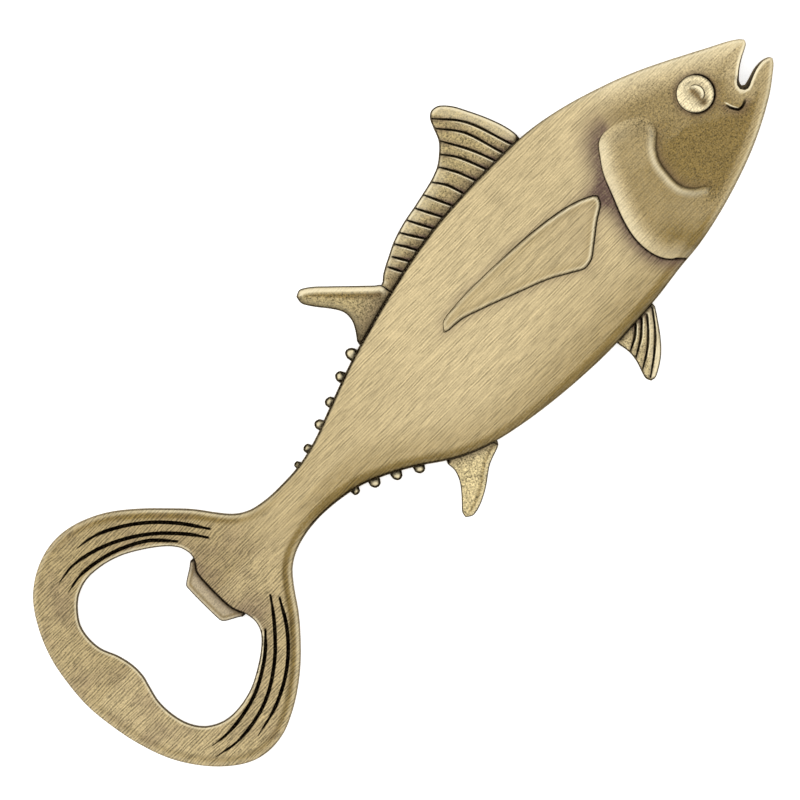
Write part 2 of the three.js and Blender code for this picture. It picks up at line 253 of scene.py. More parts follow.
def resampled(line, count):
    """The line as points an even distance apart."""
    lengths = np.concatenate([[0], np.cumsum(lengths_of(np.diff(line, axis=0)))])
    wanted = np.linspace(0, lengths[-1], count)
    return np.stack([np.interp(wanted, lengths, line[:, axis]) for axis in (0, 1)], 1)


# ---------- meshes

def rows_beside(line, offsets, closed=False):
    """Rows of points on both sides of a line."""
    normals = lefts(line, closed)
    return np.concatenate([line + offset * normals for offset in offsets])


def rows_inside(loops, offsets):
    """Rows of points at given distances inside the metal that the loops surround."""
    kept = []
    for loop in loops:
        normals = lefts(loop)
        for offset in offsets:
            row = loop + offset * normals
            kept.append(row[distance_to(row, loops) > 0.93 * offset])
    return np.concatenate(kept)


def apart(points, others, gap):
    """The points that keep a gap to all the others."""
    tree = KDTree(len(others))
    for index, (x, y) in enumerate(others):
        tree.insert((x, y, 0), index)
    tree.balance()
    far = [tree.find((x, y, 0))[2] > gap for x, y in points]
    return points[np.array(far, bool)] if len(points) else points


def grid(loop, step):
    """A triangular grid of points over the box round a loop."""
    low, high = loop.min(0), loop.max(0)
    rise = step * math.sqrt(3) / 2
    rows = np.arange(low[1], high[1], rise)
    return np.array([
        (x, y) for n, y in enumerate(rows)
        for x in np.arange(low[0] + (n % 2) * step / 2, high[0], step)
    ])


def inside(points, loops):
    """True where a point lies in the metal that the loops surround."""
    within = np.zeros(len(points), bool)
    for loop in loops:
        x0, y0 = loop.T
        x1, y1 = np.roll(loop, -1, 0).T
        for index, part in enumerate(np.array_split(np.arange(len(points)), 40)):
            px, py = points[part].T[..., None]
            spans = (y0 > py) != (y1 > py)
            cut = x0 + (py - y0) / np.where(y1 == y0, 1e-12, y1 - y0) * (x1 - x0)
            within[part] ^= ((spans & (px < cut)).sum(1) % 2).astype(bool)
    return within


def fill_points(loops, details, step, rows):
    """The loops' points, then those of details and of rows inside the edges, then a grid."""
    edge = np.concatenate(loops)
    points = edge
    for detail in details:
        near = detail[inside(detail, loops)]
        near = near[distance_to(near, loops) > EDGE_CLEARANCE]
        points = np.concatenate([points, apart(near, points, DETAIL_GAP)])
    if rows:
        beside = rows_inside(loops, rows)
        if len(points) > len(edge):
            beside = apart(beside, points[len(edge):], ROW_GAP)
        points = np.concatenate([points, beside])
    open_points = grid(loops[0], step)
    open_points = open_points[inside(open_points, loops)]
    open_points = open_points[distance_to(open_points, loops) > 0.4 * step]
    return np.concatenate([points, apart(open_points, points, 0.62 * step)])


def surface(loops, details=(), step=FILL_STEP, rows=()):
    """Points and triangles that fill the metal between the loops, the loops' points first."""
    points = fill_points(loops, details, step, rows)
    links, first = [], 0
    for loop in loops:
        links += [(first + i, first + (i + 1) % len(loop)) for i in range(len(loop))]
        first += len(loop)
    made, _, faces, sources, _, _ = delaunay_2d_cdt([Vector(p) for p in points], links, [], 1, 1e-7)
    middles = np.array([sum((made[i] for i in face), Vector((0, 0))) / 3 for face in faces])
    faces = [face for face, solid in zip(faces, inside(middles, loops)) if solid]
    place = {old: new for new, olds in enumerate(sources) for old in olds}
    order = [place[i] for i in range(first)]
    order += sorted({i for face in faces for i in face} - set(order))
    number = {old: new for new, old in enumerate(order)}
    return np.array([made[i] for i in order]), [[number[i] for i in face] for face in faces]


PAINTS = ("wear_and_highlight", "dark", "shade_halo", "olive", "cast", "blotch")


def placed(name, data):
    """A new object in the scene."""
    made = bpy.data.objects.new(name, data)
    bpy.context.scene.collection.objects.link(made)
    return made


class Piece:
    """A closed mesh being put together from surfaces and the sides between loops."""

    def __init__(self, name):
        self.name = name
        self.co = []
        self.faces = []
        self.paint = {}

    def add(self, points, z, faces, paint, flip=False):
        first = len(self.co)
        z = np.broadcast_to(z, len(points))
        self.co += [(x, y, h) for (x, y), h in zip(points, z)]
        for face in faces:
            face = [first + i for i in face]
            self.faces.append(face[::-1] if flip else face)
        for key in PAINTS:
            values = np.broadcast_to(paint.get(key, 0.0), len(points))
            self.paint.setdefault(key, []).extend(values)
        return first

    def side(self, upper, lower):
        """Faces between two rings of points, given by their points' numbers."""
        for i in range(len(upper)):
            self.faces.append([lower[i - 1], lower[i], upper[i], upper[i - 1]])

    def make(self, material, slot, nodes):
        mesh = bpy.data.meshes.new(self.name)
        mesh.from_pydata([tuple(c * MM for c in p) for p in self.co], [], self.faces)
        for key, values in self.paint.items():
            attribute = mesh.attributes.new(key, "FLOAT", "POINT")
            attribute.data.foreach_set("value", np.clip(values, 0, 1).astype(np.float32))
        mesh.shade_smooth()
        mesh.set_sharp_from_angle(angle=math.radians(42))
        mesh.materials.append(material)
        piece = placed(self.name, mesh)
        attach(piece, "root")
        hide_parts(*nodes)
        return piece


def relief(name, outlines, height, paint, low, inset, side_dark, details=(), pockets=(),
           step=FILL_STEP, rows=ROLL_ROWS):
    """A piece with a flat back at low, drafted sides and a sculpted top, from its back's
    outlines. Pockets are outlines sunk into the top, each with its floor's height. A side's
    painted shade is given below the front edge and at the back."""
    piece = Piece(name)
    tops = [moved_in(loop, inset(loop)) for loop in outlines]
    points, faces = surface(tops + [loop for loop, _ in pockets], details, step, rows)
    z = height(points)
    piece.add(points, z, faces, paint(points))
    backs = [moved_in(outline, BACK_CHAMFER) for outline in outlines]
    back_points, back_faces = surface(backs, step=BACK_STEP)
    foot = piece.add(back_points, low, back_faces, {"dark": 0.12, "olive": 0.3, "cast": 1.0},
                     flip=True)
    start = 0
    for outline, top in zip(outlines, tops):
        count = len(outline)
        brim = z[start:start + count]
        fall = np.minimum(SHOULDER, 0.4 * (brim - low))
        lean = (fall / (brim - low - BACK_CHAMFER))[:, None]
        # Painted shade on the side: its upper row is darkened under the front edge, its lower row
        # near the back.
        upper_dark, lower_dark = side_dark(outline)
        shoulder = piece.add(top + lean * (outline - top), brim - fall, [],
                             {"dark": upper_dark, "cast": 0.5})
        waist = piece.add(outline, low + BACK_CHAMFER, [], {"dark": lower_dark, "cast": 1.0})
        rings = [range(first, first + count) for first in (start, shoulder, waist, foot + start)]
        for upper, lower in zip(rings, rings[1:]):
            piece.side(upper, lower)
        start += count
    for loop, floor in pockets:
        floor_points, floor_faces = surface([loop[::-1]], step=FLOOR_STEP)
        # The pocket's floor is painted black as shade in the recess.
        sunk = piece.add(floor_points, floor, floor_faces, {"dark": 1.0})
        piece.side(range(start, start + len(loop)), range(sunk, sunk + len(loop))[::-1])
        start += len(loop)
    return piece


# ---------- what the frame holds

def back_loops(node):
    return flat_loops(node, 0, up=False)


def top_of(node):
    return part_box(node)[1].z / MM


def disc_of(node):
    """The centre and radius of a round node."""
    low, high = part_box(node)
    centre = np.array([low.x + high.x, low.y + high.y]) / 2 / MM
    return centre, (high.x - low.x) / 2 / MM


def part_of(loop, start, end):
    """The stretch of a closed loop between two points, given by number."""
    return loop[np.arange(start, end + (len(loop) if end < start else 0) + 1) % len(loop)]


def corner_towards(loop, x, y):
    """The number of the loop's point that lies farthest in a direction."""
    return int((loop @ np.array([x, y])).argmax())


RING_GROOVE_CUT = 0.6  # depths of the CAD's grooves
JAW_MARK_CUT = 0.4
RAY_GROOVE_CUT = 0.7

BODY_TOP = top_of("fish_body")
BODY_EDGE, OPENING_EDGE = [smoothed(loop, OUTLINE_STEP)
                           for loop in back_loops("fish_body")[:2]]
BODY_EDGE = BODY_EDGE - EDGE_BULGE * lefts(BODY_EDGE)
PECTORAL_EDGE = smoothed(flat_loops("pectoral_fin", BODY_TOP, up=False)[0], OUTLINE_STEP)
EYE_CENTRE, EYE_RADIUS = disc_of("eye_disc")
PUPIL_CENTRE, PUPIL_RADIUS = disc_of("pupil")
LUG_EDGE_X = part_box("cap_lug")[0].x / MM
LUG_EDGE = back_loops("cap_lug")[0]
PECTORAL_TIP = PECTORAL_EDGE[corner_towards(PECTORAL_EDGE, 1, 0.2)]

# The gill cover's outline in stretches, anticlockwise from its upper rear corner.
GILL_EDGE = smoothed(flat_loops("gill_cover", BODY_TOP, up=False)[0], OUTLINE_STEP)
gill_corners = [corner_towards(GILL_EDGE, *way)
                for way in ((0.3, 1), (-0.55, -1), (1, -0.6), (1, 0))]
GILL_REAR, GILL_FOOT, GILL_RIDGE, GILL_BROW = [
    part_of(GILL_EDGE, start, end)
    for start, end in zip(gill_corners, gill_corners[1:] + gill_corners[:1])
]
GILL_STEP = np.concatenate([GILL_REAR[:-1], smoothed(
    np.array([GILL_REAR[-1], GILL_REAR[-1] + (1, -0.95), GILL_REAR[-1] + (2.6, -2.6)]),
    DETAIL_STEP, closed=False)])

RING_GROOVES = [groove_line(loop) for loop in
                flat_loops("fish_body", BODY_TOP - RING_GROOVE_CUT, up=True)]
JAW_MARK = groove_line(flat_loops("fish_body", BODY_TOP - JAW_MARK_CUT, up=True)[0])
if math.dist(JAW_MARK[0], EYE_CENTRE) > math.dist(JAW_MARK[-1], EYE_CENTRE):
    JAW_MARK = JAW_MARK[::-1]

# From the lower jaw's tip to the upper one's, by way of the mouth's corner.
MOUTH_EDGE = part_of(BODY_EDGE, corner_towards(BODY_EDGE, 1, -0.3),
                     corner_towards(BODY_EDGE, 1, 0.5))
MOUTH_CORNER = MOUTH_EDGE[MOUTH_EDGE[:, 0].argmin()]


# ---------- the body's front

RING_GROOVE_DEPTH = 0.55
RING_GROOVE_HALF_WIDTH = 0.36
JAW_MARK_DEPTH = 0.25
JAW_MARK_HALF_WIDTH = 0.24
LIP_REACH = 6.5  # how far from the mouth's corner its lips are sculpted

# The body's edge at places along x: how wide it is rolled over, how dark the line of painted
# shade along it is, and how strong the light band (wear and painted highlight on the roll) and
# the olive band of painted shade inside that line are.
EDGE_PLACES = (-85, -70, -58, -48, -40, -33, -15, 10, 40, 55, 64, 74, 84)
UPPER_ROLL = (0.6, 0.6, 0.8, 1.0, 1.0, 0.8, 0.6, 0.6, 0.6, 0.5, 0.5, 0.5, 0.4)
LOWER_ROLL = (0.6, 0.8, 0.8, 1.0, 1.4, 1.9, 1.9, 1.4, 1.2, 0.8, 0.6, 0.5, 0.4)
UPPER_LINE = (0.2, 0.2, 0.5, 0.75, 0.75, 0.85, 1, 1, 0.8, 0.35, 0.25, 0.2, 0.2)
LOWER_LINE = (0.2, 0.4, 0.45, 0.45, 0.6, 0.95, 1, 0.55, 0.7, 0.45, 0.3, 0.2, 0.1)
UPPER_BAND = (0.1, 0.25, 0.3, 0.7, 0.3, 0.1, 0.1, 0, 0, 0.3, 0.6, 0.7, 0.6)
LOWER_BAND = (0.1, 0.1, 0.2, 0.6, 0.2, 0, 0, 0, 0.1, 0.1, 0.25, 0.6, 0.5)
UPPER_OLIVE = (0, 0.1, 0.5, 0.8, 0.4, 0.1, 0, 0, 0, 0, 0, 0, 0)
LOWER_OLIVE = (0.2, 0.4, 0.6, 0.9, 1, 0.5, 0.35, 0.3, 0.6, 0.5, 0.4, 0.3, 0.2)
ROLL_DROP = 0.15  # the share of its width that the roll drops


def along_edge(x, above, upper, lower):
    """A value of the edge's tables at each place."""
    return np.where(above, np.interp(x, EDGE_PLACES, upper), np.interp(x, EDGE_PLACES, lower))


def beside_edge(at, upper, lower):
    """A value of the edge's tables at surveyed points, faded out towards the mouth."""
    return along_edge(at.place[:, 0], at.above, upper, lower) * (1 - at.lip)


def is_above(place):
    """True where a place on the body's edge is on its upper side."""
    return place[:, 1] > np.interp(place[:, 0], (-85, -45, 0, 45, 84), (-2, -2, -3, -3, -4))


def groove_cut(points, groove, half_width, depth):
    """Depth of a tapering groove at each point. Its snout end is the blunter one."""
    distance, _, along, _ = nearest(points, groove, closed=False)
    share = np.clip(along / length_of(groove), 0, 1)
    blunt = (share > 0.5) == (groove[-1, 0] > groove[0, 0])
    taper = arch(share) ** np.where(blunt, 0.22, 0.5)
    across = distance / np.maximum(half_width * taper, 0.02)
    return depth * taper * np.clip(1 - across**2, 0, 1)


def grooves_cut(points, grooves, half_width, depth):
    return np.max([groove_cut(points, groove, half_width, depth) for groove in grooves], axis=0)


def on_mouth(points):
    return nearest(points, MOUTH_EDGE, closed=False)[0] < 0.05


def lip_share(points, reach):
    """1 at the mouth's corner, less along the lips, and 0 away from the mouth's edge."""
    return bell(lengths_of(points - MOUTH_CORNER), 0, reach) * on_mouth(points)


def body_inset(loop):
    """The mouth's sides lean back more than the rest, most of all the lower lip's."""
    lower_lip = ramp(-lefts(loop)[:, 1], 0.2, 0.8)
    lips = (0.2 + 0.3 * lower_lip) * lip_share(loop, 5.5) + 0.45 * lip_share(loop, 1.0)
    return SIDE_DRAFT + lips


BODY_BRIM = BODY_EDGE + body_inset(BODY_EDGE)[:, None] * lefts(BODY_EDGE)


def survey(points, on_gill):
    """Where points of the body's front, or of the gill cover, lie among its features."""
    at = SimpleNamespace()
    at.x, at.y = points.T
    at.place = nearest(points, BODY_EDGE)[1]
    at.outer = nearest(points, BODY_BRIM)[0]
    at.opening = np.maximum(nearest(points, OPENING_EDGE)[0] - SIDE_DRAFT, 0)
    at.above = is_above(at.place)
    at.width = along_edge(at.place[:, 0], at.above, UPPER_ROLL, LOWER_ROLL)
    at.lip = lip_share(at.place, LIP_REACH)
    at.ring = 1 - ramp(at.x, -50, -34)
    at.trunk = ramp(at.x, -42, -25)
    at.head = ramp(at.x, 48, 60)

    at.rear, _, at.along, side = nearest(points, GILL_STEP, closed=False)
    at.step_fade = ramp(at.along, 0, 4.5)
    at.ridge, _, ridge_along, _ = nearest(points, GILL_RIDGE, closed=False)
    at.ridge_fade = arch(ridge_along / length_of(GILL_RIDGE)) ** 0.6
    brow = nearest(points, GILL_BROW, closed=False)[0]
    foot = nearest(points, GILL_FOOT, closed=False)[0]
    at.cover_fade = ramp(brow, 0, 4) * (1 - ramp(-at.y, 9, 14.5) * ramp(at.x, 49, 61))
    at.cover = on_gill | ((side > 0) & (foot < at.ridge) & (foot < brow))
    at.flank = ~at.cover & (side <= 0) & (at.x < 60)
    sunken = at.ridge_fade * (1 - ramp(at.ridge, 0.3, 6.5))
    at.cheek = np.where(at.cover | at.flank, 0, sunken)

    at.eye = lengths_of(points - EYE_CENTRE)
    at.pectoral, at.pectoral_place, _, _ = nearest(points, PECTORAL_EDGE)
    at.jaw, _, at.jaw_along, at.jaw_side = nearest(points, JAW_MARK, closed=False)
    return at


def front_height(points, on_gill=False):
    """Height of the body's front, or of the gill cover let into it."""
    at = survey(points, on_gill)
    z = BODY_TOP - rolled(at.outer, at.width, ROLL_DROP * at.width) * (1 - at.lip)
    z -= rolled(at.opening, 0.5, 0.08)
    crown = rolled(at.outer, 9, np.where(at.above, 0.15, 0.4))
    z -= crown * at.trunk * (1 - 0.6 * at.head)
    brow = rolled(at.outer, 6, np.where(at.above, 0.25, 0))
    z -= brow * at.head * (1 - ramp(at.x, 76, 83))
    throat = 0.2 * bell(at.outer, 0.5, 0.95) * ~at.above
    z += throat * ramp(at.x, 50, 60) * (1 - ramp(at.x, 77, 82))
    z -= grooves_cut(points, RING_GROOVES, RING_GROOVE_HALF_WIDTH, RING_GROOVE_DEPTH)

    rise = (0.22 + 0.36 * ramp(at.rear, 0, 3.2)) * at.cover_fade
    rise += 0.3 * at.ridge_fade * bell(at.ridge, 0.6, 0.75) * on_gill
    z += np.where(at.cover, rise, 0)
    z -= np.where(at.flank, 0.3 * bell(at.rear, 0, 2.2) * at.step_fade, 0)
    z -= 0.34 * at.cheek
    if not on_gill:
        z -= groove_cut(points, JAW_MARK, JAW_MARK_HALF_WIDTH, JAW_MARK_DEPTH)
        z -= 0.12 * bell(at.eye, EYE_RADIUS + 0.15, 0.4)
        z -= 0.06 * bell(at.pectoral, 0.1, 0.3)
    return z


def front_dark(points, at):
    """Black: patina in the grooves, and painted shade along the steps and edges, heaviest on their
    sides turned from the light.
    """
    cut = grooves_cut(points, RING_GROOVES, RING_GROOVE_HALF_WIDTH, RING_GROOVE_DEPTH)
    line = beside_edge(at, UPPER_LINE, LOWER_LINE)
    olive_band = beside_edge(at, UPPER_OLIVE, LOWER_OLIVE)
    dark = ramp(cut, 0.02, 0.14)
    # Painted shade: a dark line along the body's edge, set by the edge's tables, and along the
    # opening's edge.
    dark += line * crisp(at.outer, 0.06 + 0.28 * line**4) + crisp(at.opening, 0.07)
    rear_line = crisp(at.rear, 0.15 + 0.15 * ramp(at.along, 8, 18))
    dark += rear_line * at.step_fade * at.flank
    dark += 0.4 * crisp(at.rear, 0.08) * at.step_fade * at.cover
    # Painted shade: the line round the eye is darker and wider on its front side.
    eye_front = ramp(at.x - EYE_CENTRE[0] - (at.y - EYE_CENTRE[1]), -3, 2)
    dark += crisp(at.eye - EYE_RADIUS, 0.12 + 0.2 * eye_front) * (0.6 + 0.4 * eye_front)
    # Painted shade under the pectoral fin's lower and front edges.
    under = np.maximum(ramp(at.pectoral_place[:, 1] - at.y, 0, 0.1), ramp(at.x, 20, 34))
    dark += (0.6 + 0.4 * under) * crisp(at.pectoral, 0.06 + 0.06 * under) * ~at.cover
    # Painted shade in the olive band inside the ring's lower edge.
    dark += 0.35 * olive_band * bell(at.outer, 1.5, 0.3) * at.ring * ~at.above
    dark += crisp(at.jaw, 0.24) * arch(at.jaw_along / length_of(JAW_MARK)) ** 0.3
    # Painted shade where the gill cover's ridge drops to the cheek.
    return dark + 0.6 * bell(at.ridge, 0, 0.22) * at.ridge_fade


def front_shade_halo(points, at):
    """Painted brown shade behind the gill cover and round the pads, the eye and the ridge, on one
    side of the jaw mark and by the lug.
    """
    reach = 1.8 + 1.2 * (1 - ramp(at.along, 2, 13))
    shade_halo = 0.85 * bell(at.rear, 0.2, reach) * ramp(at.along, -0.6, 1.6) * at.flank
    shade_halo += 0.62 * bell(lengths_of(points - PECTORAL_TIP), 0.6, 2.3)
    shade_halo += 0.22 * bell(at.pectoral, 0, 1.2)
    shade_halo += 0.5 * bell(at.jaw, 0.2, 0.9) * (at.jaw_side < 0)
    shade_halo += 0.5 * bell(at.eye, EYE_RADIUS, 0.8)
    shade_halo += 0.45 * bell(at.ridge, 0, 1.2) * at.ridge_fade * ~at.cover
    return shade_halo + 0.3 * at.ring * bell(at.opening, 0, 2.5) * bell(at.x, LUG_EDGE_X + 4, 9)


def inner_head_share(at):
    """0 along the head's edge and 1 on the olive field inside it."""
    inside_edge = ramp(at.outer, np.where(at.above, 1.6, 1.2), np.where(at.above, 6.0, 2.2))
    return np.where(on_mouth(at.place), 0.25 + 0.55 * ramp(at.outer, 0.2, 3.5), inside_edge)


def front_olive(at):
    """Olive toning on the head and ring, and olive painted shade along the rolled edges and towards
    the belly.
    """
    x, above, trunk = at.x, at.above, at.trunk
    # Painted shade: an olive band inside the edge's dark line, more olive on the rolled edge's
    # lower side, and olive on the trunk's belly side.
    olive = beside_edge(at, UPPER_OLIVE, LOWER_OLIVE) * bell(at.outer, 1.15, 0.5)
    roll = np.where(above, 0.1, 0.3) * (1 - ramp(at.outer, 0.3, at.width))
    olive += roll * (1 - at.head) * trunk
    olive += 0.35 * ~above * trunk * (1 - ramp(at.outer, 1.5, 9)) * (1 - at.head)
    olive += 0.12 * trunk * bell(x, 40, 20) * (1 - ramp(x, 40, 60))
    behind_eye = np.where(at.cover, ramp(x, 51, 64), ramp(x, 48, 60))
    olive += 0.74 * behind_eye * inner_head_share(at) * (1 - 0.5 * ramp(x, 75, 83))
    cover = at.cover * ramp(at.rear, 1.2, 4.2) * at.cover_fade
    olive += 0.62 * cover * (1 - ramp(x, 50, 63))
    # The sunken cheek's toning, and painted shade on the head's lower half.
    olive += 0.25 * at.cheek + 0.25 * at.head * ~above
    olive += at.ring * (np.where(above, 0.5, 0.34) - 0.12 * (1 - ramp(x, -84, -66)))
    olive += 0.3 * (1 - ramp(x, -32, 12)) * (1 - at.ring)
    # Painted shade: darker towards the belly in the middle of the trunk.
    return olive + 0.2 * bell(x, 22, 20) * ramp(-at.y, 5, 15)


def front_wear_and_highlight(points, at):
    """Bright metal: handling has rubbed the edges and crests, and painted highlights lie on the
    rolled edges, the opening's bevel, the forehead and beside the jaw mark.
    """
    # The opening's rim: rubbed bright with a painted highlight on its bevel, left out beside the
    # lug, where the rim is in shade.
    by_lug = 1 - ramp(nearest(points, LUG_EDGE)[0], 0.6, 2.0)
    wear_and_highlight = 0.75 * bell(at.opening, 0.24, 0.16) * at.ring * (1 - by_lug)
    # A light band along the rolled edge, set by the edge's tables: partly wear, partly painted
    # highlight.
    wear_and_highlight += beside_edge(at, UPPER_BAND, LOWER_BAND) * bell(at.outer, 0.32, 0.28)
    # Painted highlight on the upper side of the head.
    forehead = at.head * at.above * ramp(at.x, 52, 62) * ~on_mouth(at.place)
    wear_and_highlight += 0.3 * forehead * bell(at.outer, 1.1, 0.9)
    lifted = at.cover * at.step_fade * at.cover_fade
    wear_and_highlight += 0.48 * lifted * (1 - ramp(at.rear, 0.5, 2.6)) * (1 - 0.6 * ramp(-at.y, 9, 15))
    wear_and_highlight += 0.68 * at.cover * bell(at.ridge, 0.95, 0.5) * at.ridge_fade
    # Painted highlight on one side of the jaw mark.
    jaw_light = crisp(np.abs(at.jaw - 0.3), 0.14) * (at.jaw_side > 0)
    wear_and_highlight += jaw_light * (1 - ramp(at.jaw_along, 1.6, 2.8))
    return wear_and_highlight + crisp(at.outer - 0.05, 0.34) * np.minimum(1.6 * at.lip, 1)


def front_paint(points, on_gill=False):
    """Wear, patina, painted highlights and painted shade of the body's front, or of the gill cover.
    """
    at = survey(points, on_gill)
    cast = ramp(at.x, 55, 61) * (0.3 + 0.5 * inner_head_share(at))
    return dict(dark=front_dark(points, at), shade_halo=front_shade_halo(points, at), olive=front_olive(at),
                wear_and_highlight=front_wear_and_highlight(points, at), cast=cast + 0.3 * at.ring + 0.3 * at.cover,
                blotch=0.3 * at.ring)


def body_side_dark(loop):
    """Painted shade on the body's sides, below the front edge and at the back."""
    line = along_edge(loop[:, 0], is_above(loop), UPPER_LINE, LOWER_LINE)
    ringed = nearest(loop, OPENING_EDGE)[0] < 0.05
    line = np.maximum(line, np.maximum(1.6 * lip_share(loop, LIP_REACH), ringed)).clip(0, 1)
    return 0.3 + 0.7 * line, 0.3 + 0.3 * line


# ---------- fins and small pieces

def rooted(outline, host, reach=SEAM_REACH):
    """The outline with its root run on into the host's side."""
    gap, place, _, _ = nearest(outline, host)
    push = (1 - ramp(gap, 0.42, 0.7)) * reach / np.maximum(gap, 0.05)
    return outline + push[:, None] * (place - outline)


RAY_GROOVE_DEPTH = 0.4
RAY_GROOVE_HALF_WIDTH = 0.24
RAY_ROWS = (0, -0.11, 0.11, -0.22, 0.22, -0.32, 0.32, -0.4, 0.4, -0.5, 0.5)
FIN_OUTLINE_STEP = 0.34  # spacing of points along a fin's outline
FIN_STEP = 0.5  # spacing of points on a fin's open surfaces
FIN_DRAFT = 0.14  # how far a fin's side leans in
NOTCH = 0.2  # how much more it leans in where a groove meets the free edge
FIN_BACK = 0.03  # height of a fin's back over the body's
NEIGHBOUR_REACH = 0.6  # how far a fin runs on into the fin beside it

# Which stretch of a fin's groove has a rubbed crest, by the way the groove runs.
FADE = {1: (0.1, 0.5), -1: (0.9, 0.5)}


def groove_ends(grooves, host):
    """The ends of the grooves that lie on a fin's free edge."""
    pairs = [(line[0], line[-1]) for line in grooves]
    return [max(pair, key=lambda end: nearest(end[None], host)[0][0]) for pair in pairs]


def fin_piece(node, roll, drop, *, material, slot, host, neighbour=None, leading=None,
              grooves=(), hollow=0.0, root_line=0.32, shade=2.2, edge_line=0.15, bright=0.8,
              trailing=0.0, core=0.0, inner=0.15, pitting=0.55):
    """A low flat element that grows out of the host's side. Its free edge is rolled over, most
    on the leading side if one is named, and its middle may be hollow.
    Its paint: the reach of the black lines of painted shade along its root and free edge and of
    the root's brown painted shade, how bright the rubbed rim is, with a painted highlight on the
    leading side, how much lighter the core is, how much painted shadow darkens the trailing
    edge, and how much olive and cast grain it has inside."""
    outline = smoothed(back_loops(node)[0], FIN_OUTLINE_STEP, corner=50)
    outline = rooted(outline, host)
    if neighbour:
        beside = smoothed(back_loops(neighbour)[0], FIN_OUTLINE_STEP)
        outline = rooted(outline, beside, NEIGHBOUR_REACH)
    high = top_of(node)
    ends = groove_ends(grooves, host)
    rays = [(line, 1 if np.allclose(line[0], end) else -1) for line, end in zip(grooves, ends)]

    def inset(loop):
        lean = np.full(len(loop), FIN_DRAFT)
        for end in ends:
            lean += NOTCH * bell(lengths_of(loop - end), 0, 0.5)
        return lean

    def distances(points):
        """Distances from the free edge, a groove and the root; shares of the leading side
        and of the crests beside the grooves."""
        edge, place, _, _ = nearest(points, outline)
        edge = np.maximum(edge - 0.12, 0)
        leads = np.ones(len(points))
        if leading:
            way = points - place
            way /= np.maximum(lengths_of(way), 1e-6)[:, None]
            leads = ramp(-(way @ np.array(leading)), -0.2, 0.5)
        near, crest = np.full(len(points), 99.0), np.zeros(len(points))
        for line, inward in rays:
            gap, _, along, side = nearest(points, line, closed=False)
            beside = crisp(np.abs(gap - 0.36), 0.11) * (side * inward < 0)
            beside = beside * ramp(along / length_of(line), *FADE[inward])
            near, crest = np.minimum(near, gap), np.maximum(crest, beside)
        return edge, leads, near, nearest(points, host)[0], crest

    def height(points):
        edge, leads, near, _, crest = distances(points)
        width = roll * (0.45 + 0.55 * leads)
        z = high - rolled(edge, width, drop * (0.5 + 0.5 * leads))
        z -= hollow * ramp(edge, 0.7 * roll, 2.2 * roll)
        if rays:
            z -= grooves_cut(points, grooves, RAY_GROOVE_HALF_WIDTH, RAY_GROOVE_DEPTH)
            z += 0.05 * crest - 0.05 * bell(near, 0, 0.7)
        return z

    def paint(points):
        edge, leads, near, root, crest = distances(points)
        # Painted shade: a black line and a brown shade along the root, at the foot of the body's
        # side.
        dark = 0.95 * (1 - ramp(root, 0.12, root_line)) + 0.2 * bell(root, 0, shade / 2)
        dark += crisp(edge, edge_line) + crisp(near, 0.16)
        # Painted shadow along the trailing edge.
        dark += trailing * (1 - leads) * bell(edge, 0, 0.75)
        # Painted brown shade near the root and on the side of each groove without a crest.
        shade_halo = 0.45 * bell(root, 0, shade) + 0.5 * bell(near, 0.3, 0.25) * (crest < 0.1)
        # The rim is rubbed bright, with a painted highlight on the leading side.
        rubbed_and_lit = bright * (0.12 + 0.88 * leads) * bell(edge, 0.55 * roll, 0.42 * roll)
        wear_and_highlight = rubbed_and_lit * ramp(root, 0.5, 1.6) + crest + core * ramp(edge, 0.25, 0.45)
        olive = np.full(len(points), inner)
        # Inside the leading edge: a lighter band on fins with grooves, and an olive band of painted
        # shade on plain fins.
        if rays:
            wear_and_highlight += 0.35 * leads * bell(edge, 2 * roll, 1.5 * roll)
        else:
            olive += 0.75 * leads * bell(edge, 1.6 * roll, 0.45 * roll)
        return dict(dark=dark, shade_halo=shade_halo, wear_and_highlight=wear_and_highlight, olive=olive, cast=pitting)

    details = [rows_beside(line, RAY_ROWS) for line in grooves]
    # Its sides are painted dark as shade.
    piece = relief(node + "_cast", [outline], height, paint, FIN_BACK, inset,
                   lambda loop: (1.0, 0.75), details, step=FIN_STEP, rows=ROLL_ROWS[:9])
    return piece.make(material, slot, [node])


# ---------- materials

METAL_SHARE = 0.62  # how much of the studio's light plain metal sends back


def linear(red, green, blue):
    """The colour of metal that looks like this, from 0 to 255, under the studio's lights."""
    return tuple((c / 255) ** 2.2 * METAL_SHARE for c in (red, green, blue)) + (1.0,)


GOLD = linear(201, 182, 140)
PALE_GOLD = linear(246, 232, 194)
OLIVE = linear(132, 112, 69)
# Brown for painted shade and the ring's stains, black for patina and painted shade.
SHADE_AND_STAIN_BROWN = linear(104, 85, 76)
PATINA_AND_SHADE = linear(24, 15, 10)
EDGE_TINT = (0.78, 0.68, 0.55, 1.0)  # what tarnish leaves of light that grazes the metal

# Brush marks: the pitch, length and waviness of each of two sets, in millimetres.
LONG_MARKS = ((0.2, 2.3, 0.3), (0.27, 3.9, 0.5))
SHORT_MARKS = ((0.2, 1.0, 0.6), (0.28, 1.8, 0.8))
SHORT_MARK_STRENGTH = 3.0
MARK_STRENGTH = 0.2  # how strong the marks are beside the fine lines
LINE_CONTRAST = 0.42  # how much lighter and darker the lines make the metal
PIT_CONTRAST = 0.42  # how much the pits do
CAST_CONTRAST = 0.65  # how much they do where the casting was never brushed
GRAINS_PER_METRE = (5000, 5000, 5000)
BUMP_DEPTH = 0.05 * MM


def new_material(name, **inputs):
    """A material and its shader, with values for some of the shader's inputs."""
    material = bpy.data.materials.new(name)
    material.use_nodes = True
    shader = material.node_tree.nodes["Principled BSDF"]
    for key, value in inputs.items():
        shader.inputs[key.replace("_", " ")].default_value = value
    return material, shader


